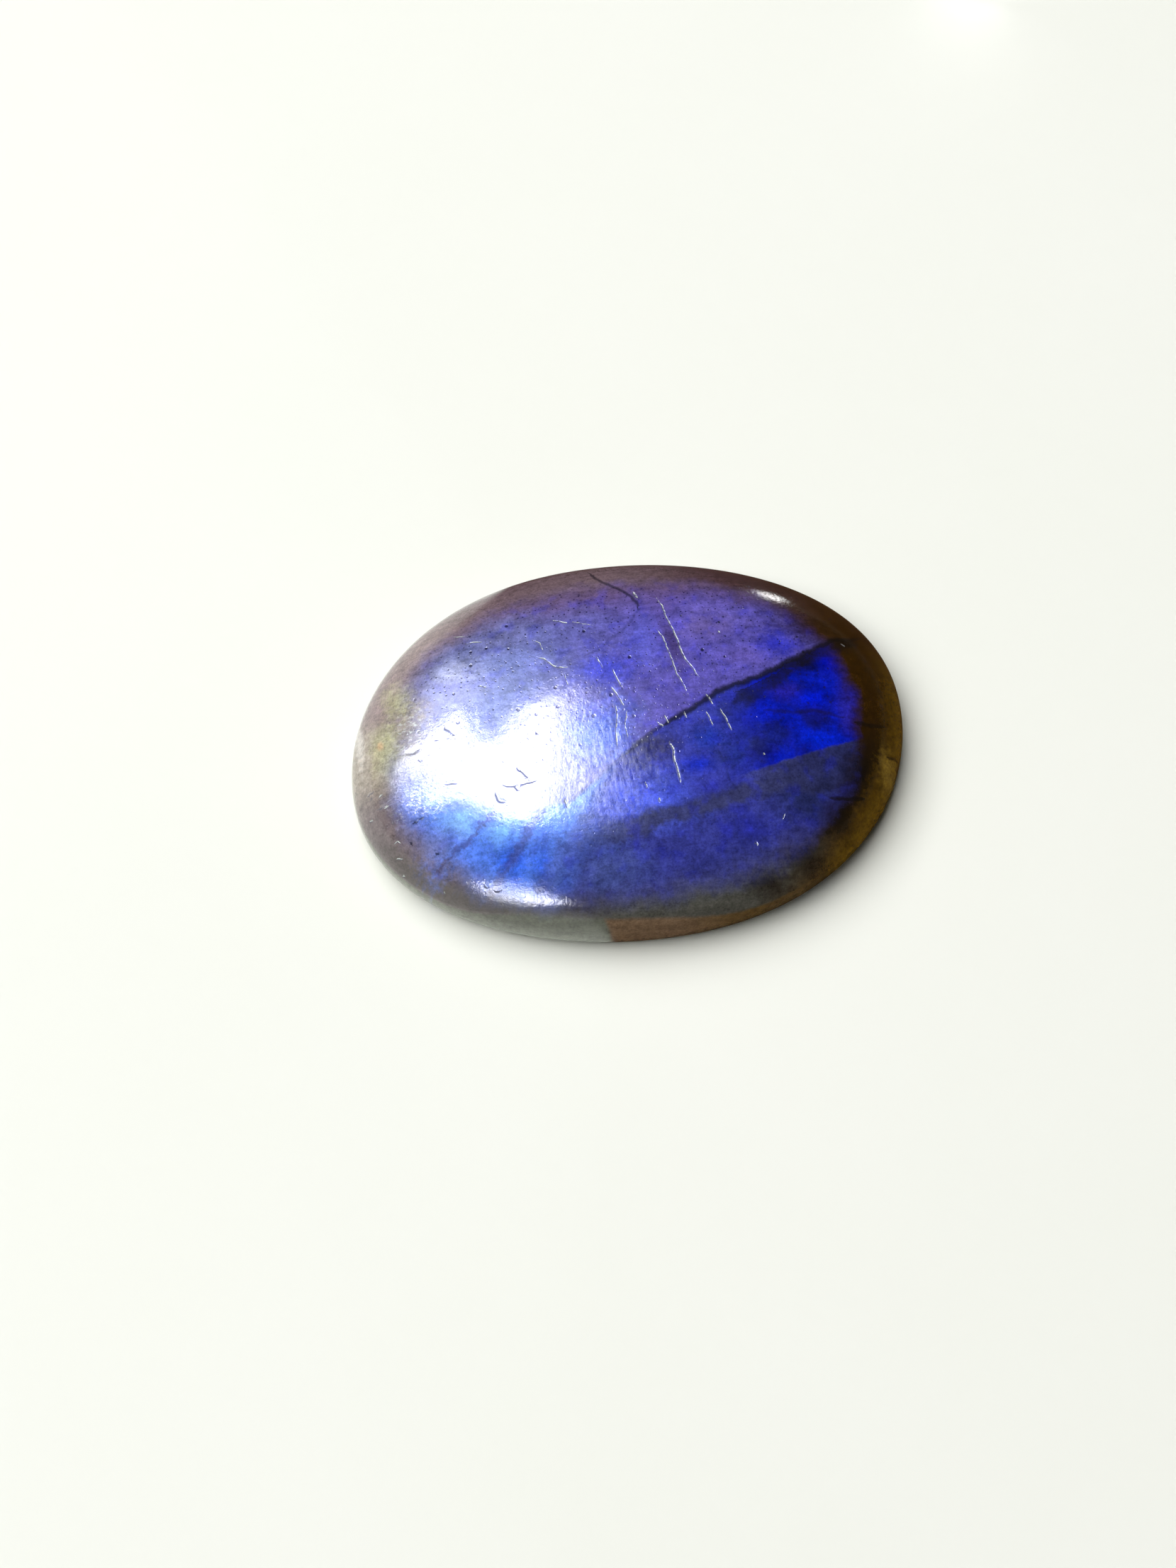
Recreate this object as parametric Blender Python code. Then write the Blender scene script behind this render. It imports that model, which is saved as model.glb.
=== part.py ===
"""Oval labradorite cabochon: one polished stone with a low dome, a soft girdle and a flat sawn back.

Metres, +Z up. The back lies on Z = 0, the long axis runs along X, and the origin is the middle of the back.
"""

import math

import bmesh
import bpy

# Driving dimensions of the stone.
LENGTH = 0.0350
WIDTH = 0.0246
THICKNESS = 0.0085

# The side, from the back up: a ground bevel, a nearly upright wall, then the widest line, the girdle.
GIRDLE_HEIGHT = 0.0016
BEVEL_HEIGHT = 0.0006
BEVEL_INSET = 0.0008
WALL_INSET = 0.00018

# Exponents of the rounded shapes: 2 is a true ellipse, and more is fuller.
OUTLINE_FULLNESS = 2.07
DOME_FULLNESS_ACROSS = 2.20
DOME_FULLNESS_UP = 2.25

# A hand-ground stone isn't quite even: its crown leans to one end, and its oval has four faint corners.
CROWN_LEAN_X = -0.0006
CROWN_LEAN_Y = 0.0003
OUTLINE_SWELL = 0.0104
SWELL_WAVES = 4
SWELL_TURN = math.radians(-102)

# How finely the curves are cut into flat faces.
SEGMENTS = 80
DOME_RINGS = 20

# Finish: grey-violet feldspar under a high polish.
STONE_COLOUR = (0.16, 0.15, 0.30, 1.0)
STONE_ROUGHNESS = 0.12
STONE_IOR = 1.56


def clear_scene():
    for old in list(bpy.data.objects):
        bpy.data.objects.remove(old)


def signed_power(value, power):
    return math.copysign(abs(value) ** power, value)


def outline_point(angle, half_length, half_width):
    """A point of the full oval of these half sizes, at an angle round the stone."""
    power = 2 / OUTLINE_FULLNESS
    swell = 1 + OUTLINE_SWELL * math.cos(SWELL_WAVES * angle + SWELL_TURN)
    return (
        swell * half_length * signed_power(math.cos(angle), power),
        swell * half_width * signed_power(math.sin(angle), power),
    )


def side_levels():
    """Half length, half width and height of each level from the back up to the girdle."""
    levels = []
    for inset, height in ((BEVEL_INSET, 0.0), (WALL_INSET, BEVEL_HEIGHT), (0.0, GIRDLE_HEIGHT)):
        levels.append((LENGTH / 2 - inset, WIDTH / 2 - inset, height))
    return levels


def dome_levels():
    """Half length, half width and height of each level above the girdle, without the crown's point."""
    rise = THICKNESS - GIRDLE_HEIGHT
    levels = []
    for ring in range(1, DOME_RINGS):
        climb = math.radians(90) * ring / DOME_RINGS
        reach = math.cos(climb) ** (2 / DOME_FULLNESS_ACROSS)
        height = GIRDLE_HEIGHT + rise * math.sin(climb) ** (2 / DOME_FULLNESS_UP)
        levels.append((LENGTH / 2 * reach, WIDTH / 2 * reach, height))
    return levels


def crown_shift(half_length):
    """How far a level's middle leans towards the crown: none at the girdle, all of it at the top."""
    share = 1 - min(1.0, 2 * half_length / LENGTH) ** 2
    return CROWN_LEAN_X * share, CROWN_LEAN_Y * share


def add_ring(bm, half_length, half_width, height):
    """A closed loop of edges round the stone at one level. Returns its edges."""
    lean_x, lean_y = crown_shift(half_length) if height > GIRDLE_HEIGHT else (0.0, 0.0)
    ring = []
    for step in range(SEGMENTS):
        x, y = outline_point(math.tau * step / SEGMENTS, half_length, half_width)
        ring.append(bm.verts.new((x + lean_x, y + lean_y, height)))
    return [bm.edges.new((ring[i - 1], ring[i])) for i in range(SEGMENTS)]


def close_crown(bm, last_ring):
    """Fans the last ring up to the crown's highest point."""
    crown = bm.verts.new((CROWN_LEAN_X, CROWN_LEAN_Y, THICKNESS))
    for edge in last_ring:
        bm.faces.new((*edge.verts, crown))


def fit_to_size(bm):
    """Brings the oval to its exact length and width, centred on the origin: the swell changes both a little."""
    for axis, size in ((0, LENGTH), (1, WIDTH)):
        places = [vert.co[axis] for vert in bm.verts]
        middle = (min(places) + max(places)) / 2
        stretch = size / (max(places) - min(places))
        for vert in bm.verts:
            vert.co[axis] = (vert.co[axis] - middle) * stretch


def stone_material():
    material = bpy.data.materials.new("polished_labradorite")
    material.use_nodes = True
    shader = material.node_tree.nodes["Principled BSDF"]
    shader.inputs["Base Color"].default_value = STONE_COLOUR
    shader.inputs["Roughness"].default_value = STONE_ROUGHNESS
    shader.inputs["Metallic"].default_value = 0.0
    shader.inputs["IOR"].default_value = STONE_IOR
    return material


def make_cabochon():
    bm = bmesh.new()
    rings = [add_ring(bm, *level) for level in side_levels() + dome_levels()]
    for lower, upper in zip(rings, rings[1:]):
        bmesh.ops.bridge_loops(bm, edges=lower + upper)
    bmesh.ops.edgeloop_fill(bm, edges=rings[0])
    close_crown(bm, rings[-1])
    fit_to_size(bm)
    bmesh.ops.recalc_face_normals(bm, faces=bm.faces)
    mesh = bpy.data.meshes.new("labradorite_cabochon")
    bm.to_mesh(mesh)
    bm.free()
    mesh.shade_smooth()
    mesh.set_sharp_from_angle(angle=math.radians(35))
    mesh.materials.append(stone_material())
    stone = bpy.data.objects.new("labradorite_cabochon", mesh)
    bpy.context.scene.collection.objects.link(stone)
    return stone


clear_scene()
make_cabochon()
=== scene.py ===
# %% [markdown]
# # A polished labradorite cabochon
#
# One stone of 35 mm, ground by hand to a low oval dome and polished. Its blue and violet flash comes from
# thin layers inside the crystal. The lesson builds the stone from the same rule that a lapidary follows,
# marks its cracks and pits where the photograph shows them, and then paints the flash as a set of masks in
# a node material. It starts from a measured model, the frame.

# %% Load the measured frame
import math

import bmesh
import bpy
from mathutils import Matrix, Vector
from mathutils.bvhtree import BVHTree


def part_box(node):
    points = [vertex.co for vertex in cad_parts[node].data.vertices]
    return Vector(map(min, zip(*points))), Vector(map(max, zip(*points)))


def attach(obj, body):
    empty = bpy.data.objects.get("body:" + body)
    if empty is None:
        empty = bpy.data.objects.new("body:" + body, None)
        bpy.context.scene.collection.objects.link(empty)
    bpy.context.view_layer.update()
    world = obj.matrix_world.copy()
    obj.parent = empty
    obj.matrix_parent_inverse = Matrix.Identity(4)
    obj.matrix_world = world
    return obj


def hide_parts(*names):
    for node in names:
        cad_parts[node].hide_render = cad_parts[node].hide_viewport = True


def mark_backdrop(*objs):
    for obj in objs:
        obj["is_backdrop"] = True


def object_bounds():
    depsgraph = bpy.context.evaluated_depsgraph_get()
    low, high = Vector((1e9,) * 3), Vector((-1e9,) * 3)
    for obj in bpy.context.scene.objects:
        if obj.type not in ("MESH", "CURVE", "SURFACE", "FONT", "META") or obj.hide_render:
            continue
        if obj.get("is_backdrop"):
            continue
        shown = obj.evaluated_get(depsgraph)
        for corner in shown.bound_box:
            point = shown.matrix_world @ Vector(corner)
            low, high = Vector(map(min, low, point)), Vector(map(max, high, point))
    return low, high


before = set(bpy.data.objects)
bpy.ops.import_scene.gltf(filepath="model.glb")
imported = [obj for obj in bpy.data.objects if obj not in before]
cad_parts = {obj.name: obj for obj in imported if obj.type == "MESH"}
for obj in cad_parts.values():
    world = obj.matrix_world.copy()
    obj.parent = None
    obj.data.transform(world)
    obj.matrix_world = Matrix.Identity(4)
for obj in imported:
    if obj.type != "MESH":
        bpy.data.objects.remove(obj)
MEASURED_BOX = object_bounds()
STONE_NODE = "labradorite_cabochon"
MM = 0.001
low_corner, high_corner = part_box(STONE_NODE)
LENGTH, WIDTH, THICKNESS = high_corner - low_corner
print(f"measured stone {LENGTH / MM:.1f} x {WIDTH / MM:.1f} x {THICKNESS / MM:.1f} mm")

# %% [markdown]
# ## The camera comes first
#
# Every mark on the stone is placed by where the photograph shows it, so the camera has to be right before
# anything else. It looks down on the stone from 70 degrees above the table, from a little to the left, and
# from 19 cm away, so near that the stone's near side looks clearly larger. The stone isn't quite in the
# middle of the picture: a small lens shift moves it there, and keeps the perspective as it is.

# %% Camera
PHOTO_WIDTH, PHOTO_HEIGHT = 1659, 2212
AIM = Vector((0, 0, 4 * MM))
AIM_PIXEL = (885.8, 1043.3)
CAMERA_TURN = math.radians(-7.5)
CAMERA_RISE = math.radians(70)
CAMERA_DISTANCE = 190 * MM
FOCAL_PIXELS = 4295
FILM_HEIGHT = 36
CLIP_START = 10 * MM


def put(name, data):
    """A new object with this data, in the scene."""
    made = bpy.data.objects.new(name, data)
    bpy.context.scene.collection.objects.link(made)
    return made


to_camera = Vector((
    math.sin(CAMERA_TURN) * math.cos(CAMERA_RISE),
    -math.cos(CAMERA_TURN) * math.cos(CAMERA_RISE),
    math.sin(CAMERA_RISE),
))
to_right = Vector((math.cos(CAMERA_TURN), math.sin(CAMERA_TURN), 0))
to_top = to_camera.cross(to_right)
EYE = AIM + to_camera * CAMERA_DISTANCE

camera_data = bpy.data.cameras.new("camera")
camera_data.sensor_fit = "VERTICAL"
camera_data.sensor_height = FILM_HEIGHT
camera_data.lens = FOCAL_PIXELS / PHOTO_HEIGHT * FILM_HEIGHT
camera_data.shift_x = (PHOTO_WIDTH / 2 - AIM_PIXEL[0]) / PHOTO_HEIGHT
camera_data.shift_y = (AIM_PIXEL[1] - PHOTO_HEIGHT / 2) / PHOTO_HEIGHT
camera_data.clip_start = CLIP_START
camera = put("camera", camera_data)
camera.location = EYE
camera.rotation_euler = to_camera.to_track_quat("Z", "Y").to_euler()
bpy.context.scene.camera = camera
print(f"camera lens {camera_data.lens:.1f} mm, {FOCAL_PIXELS * MM / CAMERA_DISTANCE:.1f} pixels per mm")

# %% [markdown]
# ## From a pixel to a place on the stone
#
# A mark seen at a pixel lies where the line of sight through that pixel meets the stone. A ray cast on the
# measured model finds it. All marks below are pixels read off the photograph, and this one function
# turns them into millimetres on the stone, so they stay on its surface from every side.

# %% Find the place under a pixel
def tree_of(obj):
    mesh = obj.data
    corners = [vert.co for vert in mesh.vertices]
    return BVHTree.FromPolygons(corners, [face.vertices[:] for face in mesh.polygons])


def hit_under(pixel, tree):
    """Where the line of sight through a pixel meets this surface, and the normal there."""
    across = (pixel[0] - AIM_PIXEL[0]) / FOCAL_PIXELS
    down = (pixel[1] - AIM_PIXEL[1]) / FOCAL_PIXELS
    sight = to_right * across - to_top * down - to_camera
    place, normal, _, _ = tree.ray_cast(EYE, sight.normalized())
    return place, normal


measured_surface = tree_of(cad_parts[STONE_NODE])


def on_stone(pixel):
    """The place under a pixel as x and y in millimetres."""
    place, _ = hit_under(pixel, measured_surface)
    if place is None:
        raise ValueError(f"pixel {pixel} isn't on the stone")
    return place.x / MM, place.y / MM


print("middle of the crown's picture:", [round(value, 2) for value in on_stone(AIM_PIXEL)])

# %% [markdown]
# ## Node trees as Python expressions
#
# Both Geometry Nodes and materials are trees of small sums. Written as calls that add one node each, they
# are long and hard to read. Here a Wire stands for one socket, and Python's own operators on it add the
# Math node that does the sum, so `1 - mask * 0.5` is two nodes and one short line. A Board is the tree, and
# its one method `node` makes every other kind of node from a type, its settings and its inputs.

# %% Wires
class Wire:
    """One socket of a node tree. Sums on it add Math nodes."""

    def __init__(self, board, socket):
        self.board = board
        self.socket = socket

    def __abs__(self):
        return self.board.math("ABSOLUTE", self)


def operator_method(operation, turned=False):
    """The method behind one operator. Turned, it serves a plain number on the operator's left."""

    def method(self, other):
        values = (other, self) if turned else (self, other)
        return self.board.math(operation, *values)

    return method


TWO_WAY = {"add": "ADD", "sub": "SUBTRACT", "mul": "MULTIPLY", "truediv": "DIVIDE"}
ONE_WAY = {"pow": "POWER", "gt": "GREATER_THAN", "lt": "LESS_THAN"}
for operator_name, operation in (TWO_WAY | ONE_WAY).items():
    setattr(Wire, f"__{operator_name}__", operator_method(operation))
for operator_name, operation in TWO_WAY.items():
    setattr(Wire, f"__r{operator_name}__", operator_method(operation, turned=True))
print(f"{len(TWO_WAY | ONE_WAY)} operators work on wires")

# %% [markdown]
# A Board also has the handful of sums that the trees below need again and again: a smooth rise from 0 to 1,
# noise, the larger or smaller of two values, and vectors taken apart and joined.

# %% Boards
class Board:
    """A node tree that is being wired."""

    def __init__(self, tree):
        self.tree = tree

    def plug(self, socket, value):
        if isinstance(value, Wire):
            self.tree.links.new(value.socket, socket)
        elif isinstance(value, bpy.types.NodeSocket):
            self.tree.links.new(value, socket)
        else:
            socket.default_value = value

    def node(self, kind, settings=None, inputs=None):
        """A node of this kind: its settings first, then its sockets, which are named or numbered."""
        made = self.tree.nodes.new(kind)
        for name, value in (settings or {}).items():
            setattr(made, name, value)
        for key, value in (inputs or {}).items():
            self.plug(made.inputs[key], value)
        return made

    def wire(self, kind, settings=None, inputs=None, output=0):
        """The same, and gives one of the node's outputs as a Wire."""
        return Wire(self, self.node(kind, settings, inputs).outputs[output])

    def math(self, operation, *values):
        return self.wire("ShaderNodeMath", {"operation": operation}, dict(enumerate(values)))

    def vector(self, operation, *values, output="Vector"):
        inputs = dict(enumerate(values))
        return self.wire("ShaderNodeVectorMath", {"operation": operation}, inputs, output)

    def scaled(self, vector, factor):
        settings = {"operation": "SCALE"}
        return self.wire("ShaderNodeVectorMath", settings, {"Vector": vector, "Scale": factor})

    def joined(self, x=0.0, y=0.0, z=0.0):
        return self.wire("ShaderNodeCombineXYZ", None, {"X": x, "Y": y, "Z": z})

    def parts(self, vector):
        split = self.node("ShaderNodeSeparateXYZ", None, {"Vector": vector})
        return [Wire(self, socket) for socket in split.outputs]

    def rise(self, value, low, high):
        """0 below low, 1 above high and a smooth rise between. With low above high it falls instead."""
        inputs = {"Value": value, "From Min": low, "From Max": high}
        return self.wire("ShaderNodeMapRange", {"interpolation_type": "SMOOTHSTEP"}, inputs)

    def noise(self, vector, scale, detail=2.0, roughness=0.5, output="Fac"):
        inputs = {"Vector": vector, "Scale": scale, "Detail": detail, "Roughness": roughness}
        return self.wire("ShaderNodeTexNoise", {"noise_dimensions": "3D"}, inputs, output)

    def most(self, first, second):
        return self.math("MAXIMUM", first, second)

    def least(self, first, second):
        return self.math("MINIMUM", first, second)


def new_material(name):
    """A node material without nodes, and its board."""
    material = bpy.data.materials.new(name)
    material.use_nodes = True
    material.node_tree.nodes.clear()
    return material, Board(material.node_tree)


print("a board's methods:", ", ".join(name for name in vars(Board) if not name.startswith("_")))

# %% [markdown]
# ## The shape follows a rule
#
# A cabochon is an oval outline that shrinks towards the crown while it rises, so its whole shape is a few
# numbers. Turning a profile would give thin slivers at the crown. A square grid that is bent into a disc
# has cells of one size everywhere, which the fine pits need, so a Geometry Nodes tree starts from a grid.
# Each grid point has a share of the way from the crown to the girdle, the widest line, and the rule turns
# that share into a place. The numbers are those of the measured model.

# %% Numbers of the stone's rule
# Fullness is the exponent of a rounded shape: 2 is a true ellipse, and more is fuller.
STONE_NUMBERS = {
    "Length": LENGTH,
    "Width": WIDTH,
    "Thickness": THICKNESS,
    "Girdle height": 1.6 * MM,
    "Outline fullness": 2.07,
    "Fullness across": 2.20,
    "Fullness up": 2.25,
    "Lean along": -0.6 * MM,
    "Lean across": 0.3 * MM,
    "Swell": 0.0104,
    "Swell turn": math.radians(-102),
    "Wobble depth": 0.045 * MM,
    "Wobble size": 5.5 * MM,
    "Ripple depth": 0.006 * MM,
    "Ripple size": 1.3 * MM,
}
STONE_COUNTS = {"Grid along": 313, "Grid across": 235}
print(f"the rule takes {len(STONE_NUMBERS) + len(STONE_COUNTS)} numbers")

# %% [markdown]
# A Geometry Nodes tree is a function with named inputs, so the same tree can make another stone from other
# numbers. These helpers start and finish a tree, move its points, and store a value on them by name, which
# is how one step tells the next what it found.

# %% Helpers for Geometry Nodes
NUMBER = "NodeSocketFloat"
WHOLE = "NodeSocketInt"
GEOMETRY = "NodeSocketGeometry"


def new_tree(name, inputs):
    """A Geometry Nodes tree with these named inputs. Returns its board and a Wire for each input."""
    tree = bpy.data.node_groups.new(name, "GeometryNodeTree")
    tree.interface.new_socket("Geometry", in_out="INPUT", socket_type=GEOMETRY)
    for label, (kind, value) in inputs.items():
        socket = tree.interface.new_socket(label, in_out="INPUT", socket_type=kind)
        if value is not None:
            socket.default_value = value
    tree.interface.new_socket("Geometry", in_out="OUTPUT", socket_type=GEOMETRY)
    board = Board(tree)
    entry = board.node("NodeGroupInput")
    wires = {socket.name: Wire(board, socket) for socket in entry.outputs if socket.name}
    return board, wires


def finish_tree(board, geometry):
    board.node("NodeGroupOutput", None, {"Geometry": geometry})
    return board.tree


def stored(board, geometry, name, value, kind="FLOAT"):
    settings = {"data_type": kind, "domain": "POINT"}
    inputs = {"Geometry": geometry, "Name": name, "Value": value}
    return board.wire("GeometryNodeStoreNamedAttribute", settings, inputs)


def named(board, name, kind="FLOAT"):
    return board.wire("GeometryNodeInputNamedAttribute", {"data_type": kind}, {"Name": name})


def set_place(board, geometry, place=None, offset=None, where=None):
    inputs = {"Geometry": geometry}
    for label, value in (("Position", place), ("Offset", offset), ("Selection", where)):
        if value is not None:
            inputs[label] = value
    return board.wire("GeometryNodeSetPosition", None, inputs)


print("a tree's numbers are of kind", NUMBER, "or", WHOLE)

# %% [markdown]
# The dome is made in three steps: the square grid is bent into a disc, the disc is lifted by the rule, and
# the result is brought to its exact length and width. From the crown outwards the climb first slows and
# then quickens, so that the cells stay even on the curved surface too.

# %% Bend the grid into the dome
SWELL_WAVES = 4
EVEN_START = 0.745
EVEN_POWER = 1.1
EVEN_RISE_POWER = 4.0


def dome_grid(board, wires):
    """A grid bent into a disc, with each point's place on the disc stored."""
    inputs = {
        "Size X": 2.0,
        "Size Y": 2.0,
        "Vertices X": wires["Grid along"],
        "Vertices Y": wires["Grid across"],
    }
    grid = board.wire("GeometryNodeMeshGrid", None, inputs)
    u, v, _ = board.parts(board.wire("GeometryNodeInputPosition"))
    disc_x = u * board.math("SQRT", 1 - v * v * 0.5)
    disc_y = v * board.math("SQRT", 1 - u * u * 0.5)
    flat = set_place(board, grid, place=board.joined(disc_x, disc_y, 0.0))
    return stored(board, flat, "disc", board.wire("GeometryNodeInputPosition"), "FLOAT_VECTOR")


def power_of(board, value, power):
    """A power that keeps the value's sign."""
    return board.math("SIGN", value) * board.math("POWER", abs(value), power)


def dome_rule(board, wires, flat):
    """Lifts the disc to the dome by the stone's rule."""
    disc_x, disc_y, _ = board.parts(named(board, "disc", "FLOAT_VECTOR"))
    share = board.least(board.math("SQRT", disc_x * disc_x + disc_y * disc_y), 1.0)
    angle = board.math("ARCTAN2", disc_y, disc_x)
    even = EVEN_START + (1 - EVEN_START) * share ** EVEN_RISE_POWER
    fall = share ** EVEN_POWER * even * math.radians(90)
    reach = board.most(board.math("SINE", fall), 0.0) ** (2 / wires["Fullness across"])
    climb = board.most(board.math("COSINE", fall), 0.0) ** (2 / wires["Fullness up"])
    swell = 1 + wires["Swell"] * board.math("COSINE", SWELL_WAVES * angle + wires["Swell turn"])
    power = 2 / wires["Outline fullness"]
    lean = 1 - reach * reach
    out_x = power_of(board, board.math("COSINE", angle), power) * wires["Length"] * 0.5
    out_y = power_of(board, board.math("SINE", angle), power) * wires["Width"] * 0.5
    x = out_x * reach * swell + wires["Lean along"] * lean
    y = out_y * reach * swell + wires["Lean across"] * lean
    z = wires["Girdle height"] + (wires["Thickness"] - wires["Girdle height"]) * climb
    dome = set_place(board, flat, place=board.joined(x, y, z))
    return stored(board, dome, "reach", reach)


def fitted(board, wires, geometry):
    """Brings the oval to its exact length and width, centred on the origin."""
    place = board.wire("GeometryNodeInputPosition")
    measured = board.node(
        "GeometryNodeAttributeStatistic",
        {"data_type": "FLOAT_VECTOR"},
        {"Geometry": geometry, "Attribute": place},
    )
    lows = board.parts(Wire(board, measured.outputs["Min"]))
    highs = board.parts(Wire(board, measured.outputs["Max"]))
    now = board.parts(place)
    placed = []
    for value, low, high, size in zip(now, lows, highs, (wires["Length"], wires["Width"])):
        placed.append((value - (low + high) * 0.5) * size / (high - low))
    return set_place(board, geometry, place=board.joined(*placed, now[2]))


print(f"dome of {math.prod(count - 1 for count in STONE_COUNTS.values())} cells")

# %% [markdown]
# A hand polish leaves a dome that is never quite even: held to a window, the reflection's edge wobbles. Two
# sizes of slow noise sink the surface by a few hundredths of a millimetre, always inwards, so the stone
# keeps its measured size. The wobble fades out at the girdle.

# %% Wear of the polish
FADE_POWER = 5.0


def worn(board, wires, geometry):
    """Sinks the dome by slow noise, less and less towards the girdle."""
    place = board.wire("GeometryNodeInputPosition")
    wobble = board.noise(place, 1 / wires["Wobble size"], detail=1.0) * wires["Wobble depth"]
    ripple = board.noise(place, 1 / wires["Ripple size"], detail=2.0) * wires["Ripple depth"]
    fade = 1 - named(board, "reach") ** FADE_POWER
    sink = board.scaled(board.wire("GeometryNodeInputNormal"), (wobble + ripple) * fade * -1)
    return set_place(board, geometry, offset=sink)


print(f"the crown sinks by up to {STONE_NUMBERS['Wobble depth'] / MM:.3f} mm")

# %% [markdown]
# ## The side and the back
#
# Below the girdle the side runs almost straight down, and then a ground bevel takes off the sharp edge of
# the sawn back, so that it can't chip. The tree extrudes the dome's open rim level by level. Each level has
# an inset and a height, and the last ones run in over the flat back until a small hole is left, which a
# flat face closes.

# %% Tree for the side and the back
# Inset and height of each level below the girdle. The corners at the bevel's two ends are a little round.
SIDE_LEVELS = (
    (0.03 * MM, 1.35 * MM),
    (0.07 * MM, 1.10 * MM),
    (0.12 * MM, 0.86 * MM),
    (0.18 * MM, 0.66 * MM),
    (0.25 * MM, 0.52 * MM),
    (0.41 * MM, 0.36 * MM),
    (0.60 * MM, 0.18 * MM),
    (0.76 * MM, 0.04 * MM),
    (0.84 * MM, 0.0),
)
BACK_RINGS = 5


def next_level(board, wires, geometry, rim, inset, height):
    """Extrudes the open rim to a level of this inset and height."""
    inputs = {"Mesh": geometry, "Selection": rim, "Offset Scale": 0.0}
    extruded = board.node("GeometryNodeExtrudeMesh", {"mode": "EDGES"}, inputs)
    top = Wire(board, extruded.outputs["Top"])
    grown = Wire(board, extruded.outputs["Mesh"])
    rim_x, rim_y, _ = board.parts(named(board, "rim", "FLOAT_VECTOR"))
    x = rim_x * (1 - inset * 2 / wires["Length"])
    y = rim_y * (1 - inset * 2 / wires["Width"])
    return set_place(board, grown, place=board.joined(x, y, height), where=top), top


def add_side_and_back(board, wires, geometry):
    around = board.node("GeometryNodeInputMeshEdgeNeighbors")
    open_edge = board.math("LESS_THAN", Wire(board, around.outputs[0]), 1.5)
    geometry = stored(board, geometry, "rim", board.wire("GeometryNodeInputPosition"), "FLOAT_VECTOR")
    rim = open_edge
    for inset, height in SIDE_LEVELS:
        geometry, rim = next_level(board, wires, geometry, rim, inset, height)
    last_inset = SIDE_LEVELS[-1][0]
    for ring in range(1, BACK_RINGS + 1):
        share = ring / (BACK_RINGS + 1)
        inset = last_inset * (1 - share) + wires["Width"] * 0.5 * share
        geometry, rim = next_level(board, wires, geometry, rim, inset, 0.0)
    return geometry


def build_stone_tree():
    inputs = {label: (NUMBER, value) for label, value in STONE_NUMBERS.items()}
    inputs |= {label: (WHOLE, value) for label, value in STONE_COUNTS.items()}
    inputs["Material"] = ("NodeSocketMaterial", None)
    board, wires = new_tree("cabochon", inputs)
    flat = dome_grid(board, wires)
    dome = fitted(board, wires, dome_rule(board, wires, flat))
    dome = worn(board, wires, dome)
    whole = add_side_and_back(board, wires, dome)
    whole = board.wire("GeometryNodeRealizeInstances", None, {"Geometry": whole})
    whole = board.wire("GeometryNodeSetShadeSmooth", None, {"Geometry": whole})
    finish = {"Geometry": whole, "Material": wires["Material"]}
    return finish_tree(board, board.wire("GeometryNodeSetMaterial", None, finish))


stone_tree = build_stone_tree()
print(f"stone tree has {len(stone_tree.nodes)} nodes")

# %% [markdown]
# ## Cracks and pits
#
# Labradorite splits along its cleavage, so a cabochon is rarely without cracks. Two kinds show here. Closed
# cracks lie inside the stone and are seen as dark, soft lines where the flash stops. Open ones reach the
# surface, where the polish has rounded their lips, and glint. Each is a short route of pixels with a width.
# The routes become one curve object for each kind, which a second tree follows.

# %% Routes of the closed cracks
# A route is its half width in millimetres, its strength from 0 to 1, and the pixels that it passes.
CLOSED_CRACKS = {
    "main": (0.20, 1.0, ((1213, 901), (1200, 903), (1176, 904), (1150, 915), (1100, 940), (1060, 958),
                         (1020, 972), (990, 990), (960, 1008), (930, 1025))),
    "main middle": (0.15, 0.75, ((938, 1020), (930, 1025), (900, 1048), (880, 1066))),
    "main left": (0.14, 0.4, ((890, 1056), (870, 1075), (840, 1101), (806, 1132))),
    "main wedge": (0.50, 0.8, ((1112, 948), (1086, 962), (1064, 975), (1040, 988))),
    "upper": (0.10, 0.8, ((828, 808), (850, 822), (870, 829), (888, 840), (899, 852), (901, 862))),
    "upper tail": (0.10, 0.35, ((904, 858), (890, 875), (868, 897), (845, 916), (826, 925))),
    "main shade": (0.40, 0.8, ((1206, 908), (1178, 911), (1150, 923), (1112, 941))),
    "rim right": (0.11, 0.9, ((1172, 1125), (1196, 1129), (1220, 1128))),
    "rim right high": (0.12, 0.8, ((1206, 1018), (1225, 1023), (1246, 1025))),
    "rim foot": (0.09, 0.8, ((1252, 1069), (1266, 1076))),
    "royal vein": (0.11, 0.55, ((1078, 1002), (1110, 1004), (1150, 1003), (1192, 1012))),
    "dash": (0.09, 0.9, ((582, 1163), (589, 1161))),
    "dash left": (0.08, 0.9, ((579, 1189), (582, 1193))),
    "dash low": (0.08, 0.9, ((615, 1203), (619, 1206))),
    "dash high": (0.07, 0.8, ((591, 1156), (597, 1154))),
    "middle vein": (0.07, 0.35, ((1010, 1052), (1022, 1075), (1030, 1100), (1044, 1118))),
}
# The line where the upper and the lower flash meet: the main crack, run on to the left end.
TO_LEFT_END = ((900, 1048), (870, 1075), (840, 1101), (806, 1132), (700, 1146), (600, 1118), (530, 1092))
FLASH_BORDER = {"border": (1.0, 1.0, CLOSED_CRACKS["main"][-1] + TO_LEFT_END)}
print(f"{len(CLOSED_CRACKS)} closed cracks")

# %% [markdown]
# The open ones are scratches, nicks and pits. A route may leave out its strength, which is then 1. Inside
# the big highlight everything is white, so only the dark lips of the "bright" ones show there.

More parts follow.
